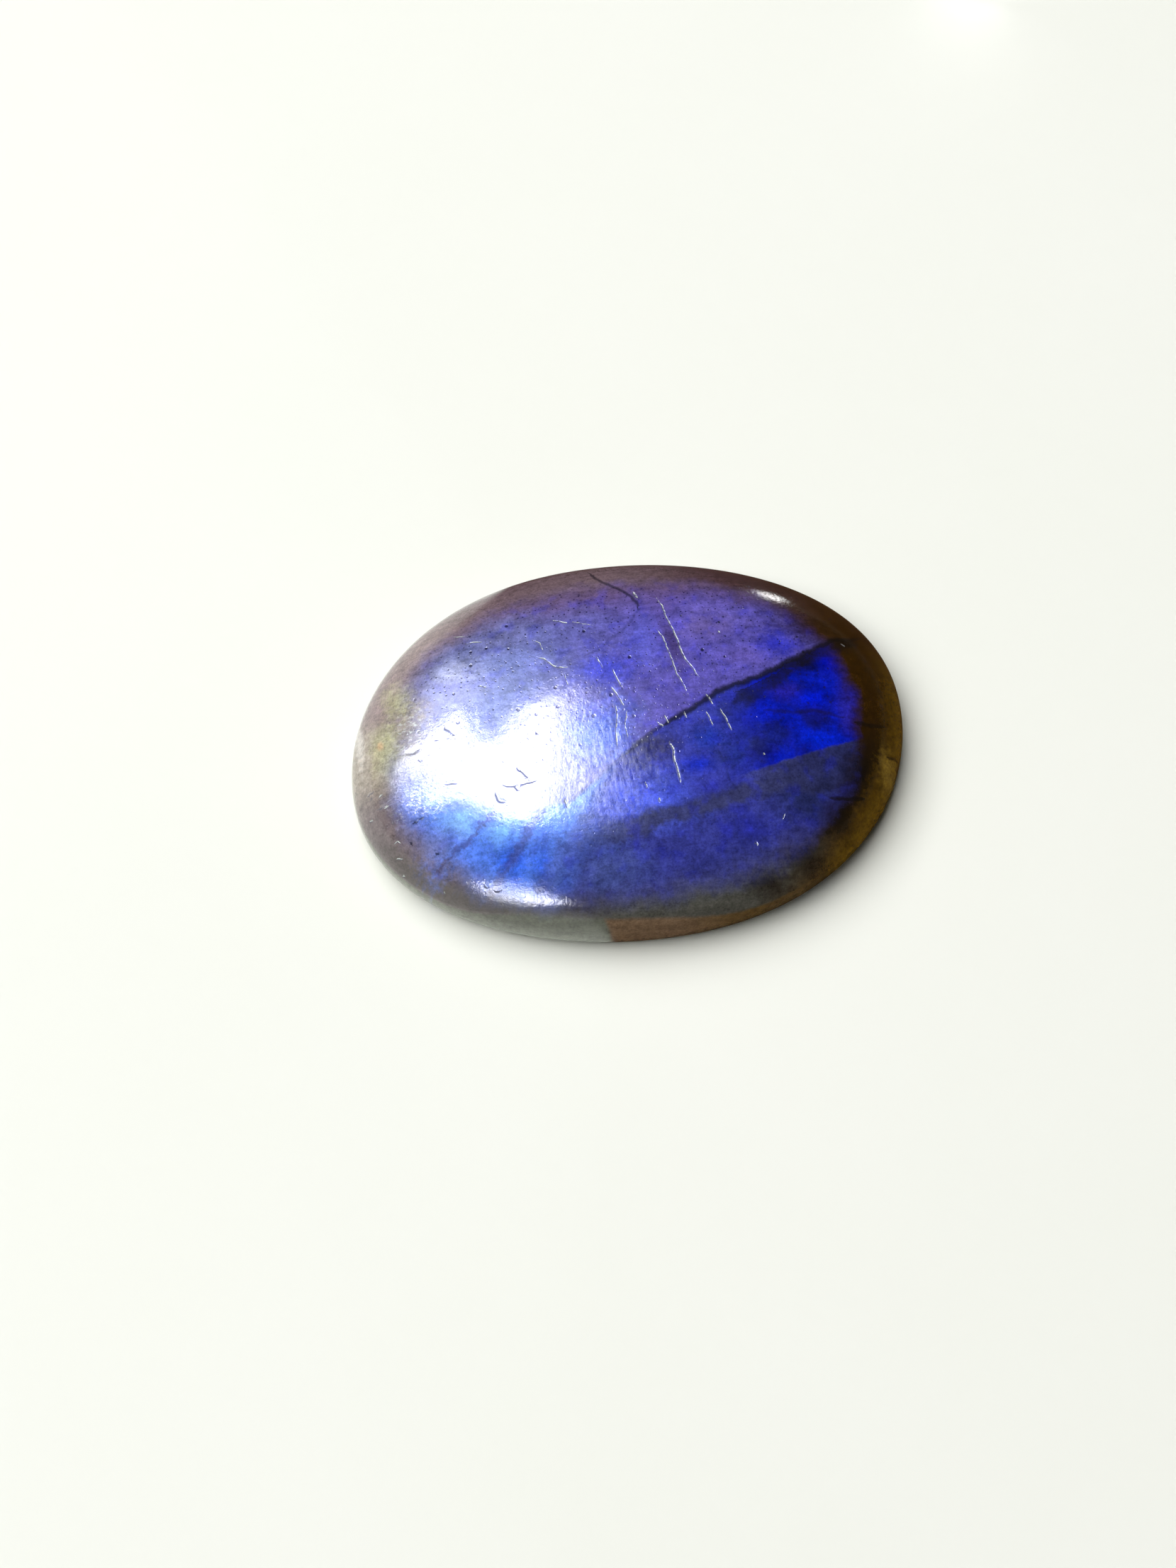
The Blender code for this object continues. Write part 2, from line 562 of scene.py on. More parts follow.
# %% Routes of the open cracks
OPEN_CRACKS = {
    "first": (0.050, ((926, 843), (934, 854), (940, 870), (948, 885), (955, 900), (960, 915),
                      (967, 930), (975, 938), (988, 958))),
    "second": (0.042, ((924, 884), (936, 900), (943, 918), (950, 935), (955, 950), (962, 960), (971, 979))),
    "second foot": (0.040, ((995, 978), (1003, 988), (1007, 995))),
    "left of it": (0.040, ((840, 924), (847, 935), (851, 943))),
    "long": (0.045, ((864, 943), (870, 956), (878, 970))),
    "long low": (0.048, ((862, 968), (872, 982), (881, 996))),
    "low": (0.045, ((868, 992), (871, 1010), (869, 1032), (871, 1054))),
    "low right": (0.035, ((885, 1000), (882, 1022), (886, 1040))),
    "under main": (0.045, ((1016, 999), (1025, 1014), (1032, 1030))),
    "under main left": (0.038, ((996, 1003), (1001, 1012), (1006, 1024))),
    "chip": (0.062, ((944, 1046), (950, 1056), (951, 1070), (956, 1084), (961, 1105))),
    "on main one": (0.045, ((926, 1018), (936, 1024))),
    "on main two": (0.040, ((937, 1008), (943, 1020))),
    "on main three": (0.040, ((965, 1004), (968, 1013))),
    "scratch high": (0.045, ((779, 875), (802, 879))),
    "scratch faint": (0.030, ((806, 877), (838, 882))),
    "hook": (0.048, ((757, 927), (768, 929), (778, 937), (785, 941), (800, 941))),
    "hook foot": (0.036, ((796, 948), (798, 958), (801, 968))),
    "left dash": (0.044, ((655, 909), (672, 905), (681, 906))),
    "left dash high": (0.032, ((638, 899), (657, 898))),
    "left dash low": (0.045, ((673, 966), (686, 969))),
    "near hook": (0.032, ((751, 903), (762, 907), (767, 921))),
    "end pit": (0.120, 0.15, ((533, 1141), (541, 1136), (549, 1130))),
    "end pit left": (0.090, 0.15, ((518, 1124), (521, 1119), (526, 1117))),
    "end pit glint": (0.070, ((534, 1125), (539, 1120))),
    "end pit glint left": (0.050, 0.8, ((521, 1131), (524, 1125))),
    "end pit glint low": (0.045, ((542, 1141), (549, 1136))),
    "end nick high": (0.060, ((522, 1159), (526, 1158))),
    "end nick": (0.038, ((556, 1190), (561, 1186), (565, 1190))),
    "end nick low": (0.038, ((560, 1212), (568, 1212))),
    "bright cut": (0.080, 0.1, ((682, 1246), (688, 1252))),
    "bright cut low": (0.070, 0.1, ((697, 1256), (708, 1256))),
    "rim glint": (0.080, ((893, 835), (899, 843))),
    "rim pit": (0.035, 0.5, ((1186, 908), (1192, 912))),
    "dot royal": (0.060, ((1013, 889), (1015, 891))),
    "dot low": (0.085, ((1066, 1187), (1068, 1191))),
    "dot band": (0.055, ((1077, 1062), (1080, 1064))),
    "dot mid": (0.070, ((930, 1125), (931, 1131))),
    "dot mid left": (0.055, ((911, 1102), (912, 1110))),
    "dot indigo": (0.035, 0.5, ((1108, 1147), (1104, 1156))),
    "dot left rim": (0.060, ((568, 1236), (571, 1237))),
    "dot bottom rim": (0.060, ((626, 1259), (628, 1261))),
    "bright pit": (0.114, 0.1, ((628, 1025), (634, 1029), (641, 1036))),
    "bright nick": (0.057, 0.1, ((611, 1044), (619, 1043))),
    "bright nick two": (0.057, 0.1, ((629, 1041), (634, 1040))),
    "bright end pit": (0.114, 0.1, ((572, 1062), (582, 1061), (590, 1057))),
    "bright end nick": (0.085, 0.1, ((590, 1070), (597, 1076))),
    "bright scratch": (0.095, 0.1, ((627, 1106), (636, 1104), (645, 1104))),
    "bright hook": (0.085, 0.1, ((728, 1082), (738, 1088), (747, 1097))),
    "bright level": (0.085, 0.1, ((708, 1107), (720, 1108), (735, 1105), (757, 1100))),
    "bright comma": (0.085, 0.1, ((727, 1108), (733, 1116))),
    "bright bowl": (0.104, 0.1, ((700, 1118), (704, 1128), (714, 1131))),
    "bright mote": (0.095, 0.1, ((744, 1041), (746, 1043))),
    "bright mote two": (0.085, 0.1, ((757, 1032), (760, 1036))),
    "dark pit": (0.060, ((797, 1128), (799, 1136), (801, 1140))),
}
print(f"{len(OPEN_CRACKS)} open cracks")

# %% [markdown]
# A curve object can hold many splines, and its points carry a radius and a tilt. The radius takes the
# crack's half width here, and the tilt, which nothing else needs, takes its strength.

# %% Make the routes curves
def crack_curves(name, routes):
    """One curve object that holds every route, flat on z = 0."""
    data = bpy.data.curves.new(name, "CURVE")
    data.dimensions = "3D"
    for half_width, *strength, pixels in routes.values():
        spline = data.splines.new("POLY")
        spline.points.add(len(pixels) - 1)
        for point, pixel in zip(spline.points, pixels):
            x, y = on_stone(pixel)
            point.co = (x * MM, y * MM, 0, 1)
            point.radius = half_width * MM
            point.tilt = strength[0] if strength else 1.0
    return put(name, data)


closed_curves = crack_curves("closed_cracks", CLOSED_CRACKS)
open_curves = crack_curves("open_cracks", OPEN_CRACKS)
border_curves = crack_curves("flash_border", FLASH_BORDER)
print(f"{len(closed_curves.data.splines) + len(open_curves.data.splines)} routes are curves")

# %% [markdown]
# The second tree tells every point of the stone about its nearest crack: how far it lies to the crack's
# left or right, in widths of the crack, and how near its middle it is. A signed distance stays exact
# between mesh points, so the material can draw a line much finer than the mesh. The same tree cuts the
# groove.

# %% Tree that follows the cracks
SAMPLE_STEP = 0.03 * MM
NEAR_WIDTHS = 5.0


def build_crack_tree():
    inputs = {
        "Cracks": ("NodeSocketObject", None),
        "Wander": (NUMBER, 0.0),
        "Wander size": (NUMBER, 0.001),
        "Groove depth": (NUMBER, 0.0),
        "Taper": (NUMBER, 1.0),
        "Attribute": ("NodeSocketString", "crack"),
    }
    board, wires = new_tree("cracks", inputs)
    settings = {"transform_space": "ORIGINAL"}
    info = board.node("GeometryNodeObjectInfo", settings, {"Object": wires["Cracks"]})
    curves = Wire(board, info.outputs["Geometry"])
    curves = stored(board, curves, "strength", board.wire("GeometryNodeInputCurveTilt"))
    settings = {"mode": "LENGTH"}
    curves = board.wire("GeometryNodeResampleCurve", settings, {"Curve": curves, "Length": SAMPLE_STEP})
    place = board.wire("GeometryNodeInputPosition")
    jitter = board.noise(place, 1 / wires["Wander size"], detail=3.0, roughness=0.6, output="Color")
    jitter = board.vector("SUBTRACT", jitter, (0.5, 0.5, 0.5))
    jitter = board.vector("MULTIPLY", board.scaled(jitter, wires["Wander"]), (1, 1, 0))
    curves = set_place(board, curves, offset=jitter)
    factor = board.node("GeometryNodeSplineParameter").outputs["Factor"]
    curves = stored(board, curves, "along", factor)
    sampled = board.node("GeometryNodeCurveToPoints", {"mode": "EVALUATED"}, {"Curve": curves})
    points = Wire(board, sampled.outputs["Points"])
    points = stored(board, points, "heading", Wire(board, sampled.outputs["Tangent"]), "FLOAT_VECTOR")

    here_x, here_y, _ = board.parts(place)
    here = board.joined(here_x, here_y, 0.0)
    found = {"Geometry": points, "Sample Position": here}
    nearest = board.wire("GeometryNodeSampleNearest", {"domain": "POINT"}, found)

    def at_nearest(value, kind="FLOAT"):
        settings = {"data_type": kind, "domain": "POINT"}
        found = {"Geometry": points, "Value": value, "Index": nearest}
        return board.wire("GeometryNodeSampleIndex", settings, found)

    there = at_nearest(place, "FLOAT_VECTOR")
    heading = at_nearest(named(board, "heading", "FLOAT_VECTOR"), "FLOAT_VECTOR")
    heading_x, heading_y, _ = board.parts(heading)
    along = at_nearest(named(board, "along"))
    width = at_nearest(board.wire("GeometryNodeInputRadius"))
    # A crack narrows towards both its tips.
    narrowing = 1 - board.rise(board.least(along, 1 - along), -0.10, 0.16)
    width = width * (1 - narrowing * wires["Taper"])
    away = board.vector("SUBTRACT", here, there)
    away_x, away_y, _ = board.parts(away)
    side = (heading_x * away_y - heading_y * away_x) / width
    distance = board.vector("LENGTH", away, output="Value") / width
    near = board.most(1 - distance / NEAR_WIDTHS, 0.0)
    packed = board.joined(side, near, at_nearest(named(board, "strength")))
    stone = stored(board, wires["Geometry"], wires["Attribute"], packed, "FLOAT_VECTOR")
    groove = board.rise(distance, 2.0, 0.0) * wires["Groove depth"]
    upper = board.parts(board.wire("GeometryNodeInputNormal"))[2] > 0.05
    sink = board.scaled(board.wire("GeometryNodeInputNormal"), groove * upper * -1)
    stone = set_place(board, stone, offset=sink)
    return finish_tree(board, board.wire("GeometryNodeRealizeInstances", None, {"Geometry": stone}))


crack_tree = build_crack_tree()
print(f"crack tree has {len(crack_tree.nodes)} nodes")

# %% [markdown]
# ## From the trees to a plain mesh
#
# The stone is an empty mesh with four modifiers: the shape, the closed cracks and the flash's border, which
# only mark, and the open cracks, which also cut a groove of about a hundredth of a millimetre. The
# evaluated result is copied to a plain mesh, the hole in the back is closed, and its normals are made to
# point outwards.

# %% Make the stone
CRACK_INPUTS = ("Cracks", "Wander", "Wander size", "Groove depth", "Taper")
CRACK_KINDS = {
    "closed_crack": (closed_curves, 0.35 * MM, 0.9 * MM, 0.0, 1.0),
    "flash_border": (border_curves, 0.35 * MM, 0.9 * MM, 0.0, 0.0),
    "open_crack": (open_curves, 0.16 * MM, 0.4 * MM, 0.014 * MM, 1.0),
}
MERGE_WITHIN = 0.0005 * MM

stone_material, paint = new_material("polished_labradorite")


def add_nodes(obj, tree, values):
    """A Geometry Nodes modifier with its inputs set by their sockets' identifiers."""
    modifier = obj.modifiers.new(tree.name, "NODES")
    modifier.node_group = tree
    sockets = {item.name: item.identifier for item in tree.interface.items_tree if item.in_out == "INPUT"}
    for name, value in values.items():
        modifier[sockets[name]] = value
    return modifier


def close_back(mesh):
    bm = bmesh.new()
    bm.from_mesh(mesh)
    bmesh.ops.remove_doubles(bm, verts=bm.verts, dist=MERGE_WITHIN)
    rim = [edge for edge in bm.edges if edge.is_boundary]
    bmesh.ops.edgeloop_fill(bm, edges=rim)
    bmesh.ops.recalc_face_normals(bm, faces=bm.faces)
    left_open = sum(edge.is_boundary for edge in bm.edges)
    bm.to_mesh(mesh)
    bm.free()
    print(f"closed {len(rim)} open edges, {left_open} left")


def make_stone():
    start = put("stone_start", bpy.data.meshes.new("stone_start"))
    add_nodes(start, stone_tree, STONE_NUMBERS | STONE_COUNTS | {"Material": stone_material})
    for attribute, values in CRACK_KINDS.items():
        add_nodes(start, crack_tree, dict(zip(CRACK_INPUTS, values)) | {"Attribute": attribute})
    graph = bpy.context.evaluated_depsgraph_get()
    mesh = bpy.data.meshes.new_from_object(start.evaluated_get(graph), depsgraph=graph)
    for helper in (start, closed_curves, border_curves, open_curves):
        bpy.data.objects.remove(helper)
    close_back(mesh)
    return put("cabochon", mesh)


stone = make_stone()
stone.data.shade_smooth()
triangles = sum(len(face.vertices) - 2 for face in stone.data.polygons)
print(f"stone of {triangles} triangles")

# %% [markdown]
# ## The material: where everything lies
#
# The pattern is drawn in millimetres on the stone, from its own Object coordinates. A mask is a number from
# 0 to 1 that says where a colour lies. Labradorite's flash has straight edges, because it stops at the
# crystal's twin planes, and such an edge is a distance from a line through two pixels. Everything softer is
# a spot or a slow rise along the stone. Noise bends them all a little.

# %% Coordinates and masks
def sRGB(red, green, blue):
    """A colour as a paint program gives it, in 0 to 255, as the linear values that a shader takes."""
    values = [value / 255 for value in (red, green, blue)]
    linear = [((value + 0.055) / 1.055) ** 2.4 if value > 0.04045 else value / 12.92 for value in values]
    return (*linear, 1.0)


object_place = paint.node("ShaderNodeTexCoord").outputs["Object"]
place = paint.scaled(object_place, 1 / MM)
x, y, z = paint.parts(place)
flat_place = paint.joined(x, y, 0.0)
large_bend = paint.noise(flat_place, 0.45, detail=3.0) - 0.5
small_bend = paint.noise(flat_place, 2.6, detail=4.0, roughness=0.6) - 0.5
patch_bend = large_bend * 0.9 + small_bend * 0.9


def beyond(start_pixel, end_pixel, bend=0.0):
    """Distance in millimetres from the line through two pixels, positive on the left of the way it runs."""
    start_x, start_y = on_stone(start_pixel)
    end_x, end_y = on_stone(end_pixel)
    run_x, run_y = end_x - start_x, end_y - start_y
    size = math.hypot(run_x, run_y)
    constant = (run_y * start_x - run_x * start_y) / size
    distance = y * (run_x / size) - x * (run_y / size) + constant
    return distance + bend if bend else distance


def spot(pixel, radius_x, radius_y, bend=0.0):
    """1 at a pixel's place, falling smoothly to 0 at these radii in millimetres."""
    middle_x, middle_y = on_stone(pixel)
    off_x = (x - middle_x) / radius_x
    off_y = (y - middle_y) / radius_y
    away = paint.math("SQRT", off_x * off_x + off_y * off_y)
    if bend:
        away = away + bend
    return paint.rise(away, 1.0, 0.0)


def over(under, colour, mask):
    """Lays a colour over another where the mask is 1."""
    settings = {"data_type": "RGBA", "clamp_factor": True}
    return paint.wire("ShaderNodeMix", settings, {0: mask, 6: under, 7: colour}, 2)


def shaded(colour, light):
    """A colour times this number in all its channels."""
    settings = {"data_type": "RGBA", "blend_type": "MULTIPLY"}
    light = paint.joined(light, light, light)
    return paint.wire("ShaderNodeMix", settings, {0: 1.0, 6: colour, 7: light}, 2)


def with_patches(field, patches, bend):
    """Lays patches over a colour: each one's pixel, radii in millimetres, colour and strength."""
    for pixel, radius_x, radius_y, tint, strength in patches:
        field = over(field, tint, spot(pixel, radius_x, radius_y, bend) * strength)
    return field


def crack_parts(name):
    """What the crack tree stored: the side and the nearness in widths, and the strength."""
    settings = {"attribute_type": "GEOMETRY", "attribute_name": name}
    return paint.parts(paint.node("ShaderNodeAttribute", settings).outputs["Vector"])


print(f"middle grey is {sRGB(128, 128, 128)[0]:.3f} to a shader")

# %% [markdown]
# ## Body colour
#
# Without its flash, labradorite is a smoky grey feldspar that light enters a little way. Its rim shows that
# body: mauve grey at the left and top, near black where it is thick and dark at the lower side. At the right
# the light that comes through the thin edge is painted in, as a clear olive to golden brown glow. The side
# below the dome carries a painted reflection of its surroundings, pale at the left and umber at the right.
# The ground bevel is palest: it is frosted, because nobody polishes what a setting hides, and its paleness
# is partly painted light at the stone's foot.

# %% Body colour of the stone
MAUVE = sRGB(106, 88, 96)
DARK_MAUVE = sRGB(72, 52, 58)
PALE_GREY = sRGB(164, 154, 142)
HIGH_GREY = sRGB(140, 122, 122)
LOW_GREY = sRGB(120, 108, 110)
SMOKE = sRGB(88, 88, 82)
GIRDLE_GREY = sRGB(98, 102, 88)
GIRDLE_PALE = sRGB(134, 140, 126)
BEVEL_FROST_AND_LIGHT = sRGB(168, 170, 158)
OLIVE_GLOW = sRGB(122, 92, 12)
BROWN = sRGB(52, 32, 4)
NEAR_BLACK = sRGB(24, 18, 12)
LOW_RING = sRGB(62, 56, 52)
TAN = sRGB(150, 120, 44)
UMBER = sRGB(124, 100, 78)
UMBER_DARK = sRGB(104, 82, 46)
STRAW = sRGB(190, 188, 142)
AMBER = sRGB(214, 168, 120)
PAINTED_EDGE_HIGHLIGHT = sRGB(222, 216, 210)

# Patches of the body: pixel, radii in millimetres, colour and strength.
RIGHT_PATCHES = (
    # The tan patch is a painted glow of light coming through the thin right edge.
    ((1254, 1094), 1.0, 2.0, TAN, 0.9),
    ((1188, 1160), 1.2, 1.5, NEAR_BLACK, 0.8),
    ((1142, 1216), 2.2, 1.4, NEAR_BLACK, 0.8),
    ((1084, 1246), 2.6, 1.0, NEAR_BLACK, 0.8),
)
LEFT_PATCHES = (
    ((564, 990), 1.7, 2.0, STRAW, 0.8),
    ((548, 1060), 1.7, 3.0, STRAW, 0.9),
)
LEFT_MARKS = (
    ((536, 1053), 0.35, 0.5, AMBER, 0.6),
    # A painted highlight: a pale streak along the left edge.
    ((507, 1050), 0.45, 2.6, PAINTED_EDGE_HIGHLIGHT, 0.8),
)
REFLECTION_CHANGE = ((862, 1322), (850, 1290))

to_right_end = paint.rise(x + large_bend * 3, 6.0, 14.5)
to_left_end = paint.rise(x + large_bend * 3, -6.0, -12.5)
to_bottom = paint.rise(y + large_bend * 2, -5.0, -9.5)
left_grey = over(PALE_GREY, HIGH_GREY, paint.rise(y + large_bend * 2, 1.5, 4.0))
left_grey = over(left_grey, LOW_GREY, paint.rise(y + large_bend * 2, -0.5, -3.5))
body = over(MAUVE, DARK_MAUVE, paint.rise(x + large_bend * 3, 0.0, 8.0))
body = over(body, left_grey, to_left_end)
body = over(body, SMOKE, to_bottom * (1 - to_left_end * 0.8))
body = over(body, BROWN, to_right_end)
print("body of", len({MAUVE, DARK_MAUVE, PALE_GREY, HIGH_GREY, LOW_GREY, SMOKE, BROWN}), "greys and browns")

# %% [markdown]
# At the right end the thick inner part is near black and the thin outer edge glows olive with painted light
# that comes through it. A dark ring runs along the lower left, just above the pale band of the side, which is
# a painted reflection whose colour changes at one sharp line.

# %% Rim glow, reflected band and bevel
# Painted light through the right end: near black where the stone is thick, an olive glow at the thin edge.
through_light_right = to_right_end * paint.rise(y + large_bend * 3, 5.0, 0.0)
thick_part = paint.rise(z + small_bend, 4.2, 5.2)
body = over(body, NEAR_BLACK, thick_part * through_light_right * paint.rise(y + patch_bend * 3, 0.0, -5.0))
body = over(body, OLIVE_GLOW, paint.rise(z + small_bend * 1.2, 5.2, 2.6) * through_light_right)
body = with_patches(body, RIGHT_PATCHES, small_bend)

band_top = 4.1 - paint.rise(x, -6.5, -13.0) * 1.5 - paint.rise(x, -1.5, 8.0) * 1.3
above_band = z - band_top
low_ring = paint.rise(above_band, 0.0, 0.3) * paint.rise(above_band, 2.3, 1.2)
low_ring = low_ring * paint.rise(y + patch_bend, -3.0, -6.5)
body = over(body, LOW_RING, low_ring * paint.rise(x, -1.0, -5.0) * 0.6)
# The side's band is a painted reflection: grey to pale where it mirrors a white surround, umber where it mirrors a
# brown one, changing at one line.
low_down = paint.rise(z + small_bend * 0.25 - band_top, 0.2, -0.2)
reflected_band = paint.rise(y + x * 0.25, -6.5, -8.5) * low_down
reflected_umber_side = over(UMBER, UMBER_DARK, paint.rise(x + large_bend * 2, 1.0, 6.5))
reflected_pale_side = over(GIRDLE_GREY, GIRDLE_PALE, paint.rise(z, 3.2, 1.0))
reflected_band_colour = over(reflected_pale_side, reflected_umber_side, paint.rise(beyond(*REFLECTION_CHANGE), 0.15, -0.15))
body = over(body, reflected_band_colour, reflected_band * (1 - to_right_end))

body = with_patches(body, LEFT_PATCHES, patch_bend)
body = with_patches(body, LEFT_MARKS, small_bend)
# The bevel is paler: partly its own frosted grind, partly painted light at the foot, where shade falls.
bevel = paint.rise(z, 0.95, 0.6) * (1 - to_right_end)
body = over(body, BEVEL_FROST_AND_LIGHT, bevel * 0.6)
print(f"{len(RIGHT_PATCHES) + len(LEFT_PATCHES) + len(LEFT_MARKS)} patches on the rim")

# %% [markdown]
# ## The flash
#
# The flash fills the dome up to a soft limit inside the rim, because near the edge the layers no longer
# face the eye. Inside it lie the zones: a violet field above the main crack, a royal blue wedge right of it
# that ends at a straight twin edge, a saturated middle, an azure corner with twin stripes at the lower
# left, and an indigo band below a dark slate one.

# %% Flash zones
VIOLET = sRGB(100, 92, 190)
PERIWINKLE_AND_HAZE = sRGB(114, 122, 182)
MAUVE_VEIL = sRGB(104, 82, 128)
MIDDLE_BLUE = sRGB(60, 68, 176)
ROYAL = sRGB(8, 30, 190)
NAVY = sRGB(18, 26, 128)
INDIGO = sRGB(60, 66, 156)
AZURE = sRGB(92, 136, 250)
SLATE = sRGB(62, 66, 110)
SLATE_DARK = sRGB(44, 48, 88)
DEEP_BLUE = sRGB(34, 40, 214)
SLIVER = sRGB(78, 64, 122)
STRIPE_GREY = sRGB(78, 92, 170)

FLASH_MIDDLE = (-0.3, -0.65)
FLASH_HALF = (14.05, 9.85)
FLASH_FULLNESS = 2.3
ROYAL_LOWER_EDGE = ((1080, 1082), (1205, 1045))
SLATE_LINE = ((780, 1208), (1200, 1082))
AZURE_EDGE = ((800, 1270), (850, 1130))
SLIVER_LEFT = ((962, 962), (926, 874))
SLIVER_RIGHT = ((930, 850), (984, 966))
# Single spots: a pixel, and radii in millimetres.
SLIVER_SPOT = ((948, 905), 2.6, 3.4)
FLASHLESS_SHOULDER = ((568, 1022), 2.6, 3.8)
LOWER_LEFT_TONGUE = ((648, 1196), 3.2, 2.4)
print(f"flash within {FLASH_HALF[0]} mm along and {FLASH_HALF[1]} mm across")

# %% [markdown]
# A real flash is never one even colour: it is deeper or paler in patches. Each patch is a soft oval with
# the pixel in its middle, its radii in millimetres, its colour and its strength, so one row moves it.

# %% Patches of the flash
UPPER_PATCHES = (
    ((700, 900), 3.4, 1.9, sRGB(116, 118, 172), 0.7),
    ((1000, 880), 3.2, 1.8, sRGB(110, 96, 164), 0.8),
    ((1050, 925), 2.2, 1.2, sRGB(104, 90, 176), 0.6),
    ((905, 905), 2.0, 2.6, sRGB(96, 100, 212), 0.7),
    ((858, 945), 2.8, 1.8, sRGB(70, 80, 230), 0.8),
    ((880, 1000), 2.0, 1.6, sRGB(78, 76, 178), 0.6),
    ((850, 1035), 3.4, 3.4, sRGB(68, 106, 232), 0.9),
    ((1142, 880), 4.6, 3.4, sRGB(52, 44, 96), 0.95),
    ((1160, 872), 3.4, 3.2, sRGB(46, 32, 66), 1.0),
    ((1098, 846), 2.6, 1.4, sRGB(70, 56, 104), 0.9),
    ((1094, 908), 1.9, 1.4, sRGB(58, 62, 204), 0.9),
    # The two palest patches, next to the highlight, are partly painted haze of its light.
    ((730, 935), 3.2, 1.6, sRGB(126, 138, 214), 0.5),
    ((640, 946), 2.4, 1.6, sRGB(160, 166, 206), 0.8),
)
LOWER_PATCHES = (
    ((925, 1052), 3.0, 1.6, sRGB(50, 50, 104), 0.85),
    ((1055, 1020), 2.4, 3.2, sRGB(26, 38, 80), 0.9),
    ((1000, 1040), 1.9, 1.2, sRGB(32, 56, 172), 0.9),
    ((985, 1078), 1.7, 0.9, sRGB(24, 48, 206), 0.9),
    ((1042, 1064), 2.2, 1.4, sRGB(34, 50, 104), 0.8),
    ((1100, 1066), 0.9, 0.8, sRGB(84, 92, 150), 0.6),
    ((915, 1132), 5.2, 2.4, sRGB(84, 104, 244), 0.95),
    ((1000, 1108), 2.2, 1.4, sRGB(56, 60, 168), 0.7),
    ((1060, 1168), 2.6, 1.5, sRGB(44, 50, 170), 0.7),
    ((1140, 1128), 3.0, 2.0, sRGB(36, 44, 86), 0.8),
    ((860, 1228), 4.4, 2.0, sRGB(80, 94, 168), 0.9),
    ((846, 1186), 2.6, 1.5, sRGB(70, 92, 184), 0.8),
)
ROYAL_PATCHES = (
    ((1132, 938), 4.2, 1.3, sRGB(8, 12, 56), 0.9),
    ((1105, 975), 1.6, 1.0, sRGB(44, 38, 168), 0.7),
    ((1192, 1000), 1.0, 2.2, sRGB(48, 46, 186), 0.8),
    ((1095, 1040), 2.0, 1.5, sRGB(26, 38, 136), 0.8),
    ((1150, 985), 1.7, 1.1, sRGB(2, 30, 232), 0.9),
    ((1166, 932), 1.1, 1.3, sRGB(2, 20, 200), 0.8),
    ((1158, 1042), 2.4, 1.0, sRGB(2, 40, 232), 0.9),
)
AZURE_PATCHES = (
    ((650, 1158), 2.0, 1.3, sRGB(128, 184, 255), 0.95),
    ((706, 1172), 1.6, 1.4, sRGB(120, 180, 255), 0.95),
    ((722, 1216), 1.5, 1.6, sRGB(60, 112, 250), 0.9),
    ((764, 1222), 1.0, 1.5, sRGB(56, 104, 240), 0.8),
    ((616, 1196), 2.4, 1.8, sRGB(124, 146, 232), 0.8),
)
# Twin stripes across the azure corner: two pixels on each one's middle line, and its half width.
STRIPES = (
    ((744, 1176), (702, 1244), 0.30),
    ((664, 1180), (630, 1216), 0.16),
    ((836, 1150), (778, 1240), 0.75),
)

print(f"{len(UPPER_PATCHES)} patches above the main crack")

# %% [markdown]
# The flash fills a rounded box with a soft edge, softest at the left. It is taken away at the left shoulder,
# and a tongue of it reaches into the lower left corner.

# %% Where the flash shows
bent = large_bend * 1.2 + small_bend * 0.5
off_x = abs(x - FLASH_MIDDLE[0]) / FLASH_HALF[0]
off_y = abs(y - FLASH_MIDDLE[1]) / FLASH_HALF[1]
flash_reach = off_x ** FLASH_FULLNESS + off_y ** FLASH_FULLNESS
at_right = paint.rise(x, 7.0, 12.0)
flash = paint.rise(flash_reach + bent * 0.25, 1.28 - at_right * 0.11, 0.76 + at_right * 0.12)
flash = flash * (1 - spot(*FLASHLESS_SHOULDER, patch_bend) * 0.85)
flash = paint.most(flash, spot(*LOWER_LEFT_TONGUE, patch_bend))
print(f"{len(stone_material.node_tree.nodes)} nodes with the flash's outline")

# %% [markdown]
# Above the main crack the field runs from violet to periwinkle, under a mauve veil at the top, with one
# darker sliver between two open cracks. The paler periwinkle towards the highlight is partly the flash and
# partly painted haze of the highlight's light. The crack's line parts it sharply from the field below, but
# only until the highlight: further left the two melt into each other.

# %% Upper field
border_side, _, _ = crack_parts("flash_border")
right_of_foot = paint.rise(x + bent, -7.0, -3.5)
sharp_border = paint.rise(border_side + small_bend * 0.3, -0.12, 0.12)
soft_border = paint.rise(border_side + bent, -1.6, 1.6)
below_main = over(soft_border, sharp_border, right_of_foot)

hazed_leftwards = paint.rise(x + bent * 2, 4.0, -9.0)
upper = over(VIOLET, PERIWINKLE_AND_HAZE, hazed_leftwards)
upper = over(upper, MAUVE_VEIL, paint.rise(y + bent * 1.5, 6.0, 9.3) * 0.9)
upper = with_patches(upper, UPPER_PATCHES, patch_bend)
sliver = paint.rise(beyond(*SLIVER_LEFT, small_bend * 0.4), 0.15, -0.15)
sliver = sliver * paint.rise(beyond(*SLIVER_RIGHT, small_bend * 0.4), 0.15, -0.15)
sliver = sliver * spot(*SLIVER_SPOT)
upper = over(upper, SLIVER, sliver * 0.8)
print(f"{len(stone_material.node_tree.nodes)} nodes with the upper field")

# %% [markdown]
# The lower field is laid in the order of the crystal's twins: the indigo ground, the royal wedge with its
# straight edge, the azure corner with its stripes, and last the dark slate band between them.

